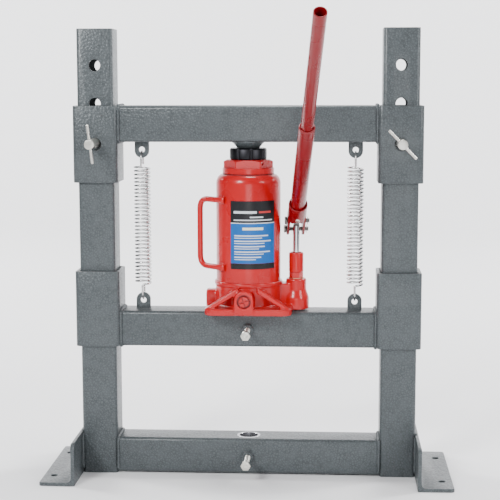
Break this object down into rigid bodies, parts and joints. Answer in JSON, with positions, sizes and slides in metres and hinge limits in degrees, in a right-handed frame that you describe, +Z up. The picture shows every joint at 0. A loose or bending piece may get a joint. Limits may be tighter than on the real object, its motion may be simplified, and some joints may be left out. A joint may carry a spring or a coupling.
{
  "type": "hydraulic shop press",
  "caption": "Bench-top H-frame press with a red bottle jack on a sprung sliding beam, telescoping pump handle, pinned top beam and angle-iron feet.",
  "frame": {"origin": "on the bench plane, at the centre of the four bench bolt holes, under the middle of the press", "axes": "+X along the beams to the right of someone facing the jack's handle, +Y away from them to the back, +Z up"},
  "size_m": [0.57, 0.441, 0.6361],
  "materials": {
    "grey_hammer_paint": "hammertone grey enamel",
    "red_paint": "gloss red enamel",
    "dark_red_paint": "gloss dark red enamel",
    "zinc_plate": "bright zinc plate",
    "spring_steel": "zinc plated spring wire",
    "polished_steel": "ground and polished",
    "black_oxide": "black oxide, oiled",
    "honed_steel": "honed steel",
    "seal_rubber": "matt",
    "soft_copper": "annealed copper",
    "label_film": "printed film, colour bands only"
  },
  "bodies": {
    "frame": {"left_upright": "grey_hammer_paint", "right_upright": "grey_hammer_paint", "base_beam": "grey_hammer_paint", "left_foot": "grey_hammer_paint", "right_foot": "grey_hammer_paint", "bed_bush": "zinc_plate", "bed_clamp_nut": "grey_hammer_paint", "left_top_sleeve": "grey_hammer_paint", "right_top_sleeve": "grey_hammer_paint", "top_beam": "grey_hammer_paint", "left_top_lug": "grey_hammer_paint", "right_top_lug": "grey_hammer_paint", "jack_seat": "grey_hammer_paint", "left_spring": "spring_steel", "right_spring": "spring_steel"},
    "press_beam": {"sliding_beam": "grey_hammer_paint", "left_slide_sleeve": "grey_hammer_paint", "right_slide_sleeve": "grey_hammer_paint", "left_beam_lug": "grey_hammer_paint", "right_beam_lug": "grey_hammer_paint", "tool_bush": "zinc_plate", "beam_clamp_nut": "grey_hammer_paint", "jack_base": "red_paint", "base_gasket": "seal_rubber", "oil_tank": "red_paint", "pressure_cylinder": "honed_steel", "cylinder_washer": "soft_copper", "tank_nut": "red_paint", "tank_seal": "seal_rubber", "ram_wiper": "seal_rubber", "carry_bail": "red_paint", "jack_label": "label_film", "pump_cylinder": "red_paint", "pump_washer": "soft_copper", "pump_packing": "seal_rubber", "valve_balls": "polished_steel", "delivery_spring": "spring_steel", "delivery_plug": "zinc_plate", "link_pin": "black_oxide"},
    "ram": {"ram": "polished_steel", "ram_cup": "seal_rubber", "extension_screw": "black_oxide"},
    "link": {"pump_link": "dark_red_paint"},
    "lever": {"handle_socket": "dark_red_paint", "socket_rivet": "zinc_plate", "plunger_pin": "black_oxide", "fulcrum_pin": "black_oxide", "lever_cotters": "spring_steel"},
    "plunger": {"pump_plunger": "polished_steel"},
    "handle_low": {"handle_lower": "dark_red_paint"},
    "handle_top": {"handle_upper": "dark_red_paint"},
    "release": {"release_valve": "red_paint", "release_o_ring": "seal_rubber"},
    "filler": {"filler_plug": "seal_rubber"},
    "bed_bolt": {"bed_clamp_bolt": "zinc_plate"},
    "beam_bolt": {"beam_clamp_bolt": "zinc_plate"},
    "left_cross_pin": {"left_pin": "zinc_plate", "left_pin_bar": "zinc_plate"},
    "right_cross_pin": {"right_pin": "zinc_plate", "right_pin_bar": "zinc_plate"}
  },
  "joints": [
    {"name": "beam_press", "type": "slide", "parent": "frame", "child": "press_beam", "axis": [0, 0, -1], "range_m": [0, 0.115], "stiffness_N_per_m": 2900, "springref_m": -0.05, "deforming": ["left_spring", "right_spring"]},
    {"name": "ram_rise", "type": "slide", "parent": "press_beam", "child": "ram", "axis": [0, 0, 1], "range_m": [0, 0.115]},
    {"name": "link_swing", "type": "hinge", "parent": "press_beam", "child": "link", "pos_m": [0.06478, 0.02189, 0.262], "axis": [0.9949, 0.1011, 0], "range_deg": [-4.2, 2.4]},
    {"name": "handle_pump", "type": "hinge", "parent": "link", "child": "lever", "pos_m": [0.06525, 0.01725, 0.34646], "axis": [0.9949, 0.1011, 0], "range_deg": [-20, 35]},
    {"name": "plunger_stroke", "type": "slide", "parent": "press_beam", "child": "plunger", "axis": [0, 0, -1], "range_m": [-0.0057, 0.0099]},
    {"name": "handle_lower_pull", "type": "slide", "parent": "lever", "child": "handle_low", "axis": [0.0796, -0.784, 0.6157], "range_m": [0, 0.035]},
    {"name": "handle_upper_pull", "type": "slide", "parent": "handle_low", "child": "handle_top", "axis": [0.0796, -0.784, 0.6157], "range_m": [0, 0.045]},
    {"name": "release_turn", "type": "hinge", "parent": "press_beam", "child": "release", "pos_m": [-0.003, -0.06, 0.254], "axis": [0, -1, 0], "range_deg": [0, 450]},
    {"name": "filler_pull", "type": "slide", "parent": "press_beam", "child": "filler", "axis": [0, 1, 0], "range_m": [0, 0.012]},
    {"name": "beam_bolt_turn", "type": "hinge", "parent": "press_beam", "child": "beam_bolt", "pos_m": [0, -0.06, 0.209], "axis": [0, -1, 0], "range_deg": [0, 180]},
    {"name": "bed_bolt_turn", "type": "hinge", "parent": "frame", "child": "bed_bolt", "pos_m": [0, -0.06, 0.027], "axis": [0, -1, 0], "range_deg": [0, 180]},
    {"name": "left_pin_pull", "type": "slide", "parent": "frame", "child": "left_cross_pin", "axis": [0, -1, 0], "range_m": [0, 0.09]},
    {"name": "right_pin_pull", "type": "slide", "parent": "frame", "child": "right_cross_pin", "axis": [0, -1, 0], "range_m": [0, 0.09]}
  ],
  "couplings": [
    {"joint": "ram_rise", "follows": "beam_press", "ratio": 1},
    {"joint": "link_swing", "follows": "handle_pump", "ratio": -0.1172},
    {"joint": "plunger_stroke", "follows": "handle_pump", "m_per_rad": 0.01581}
  ]
}
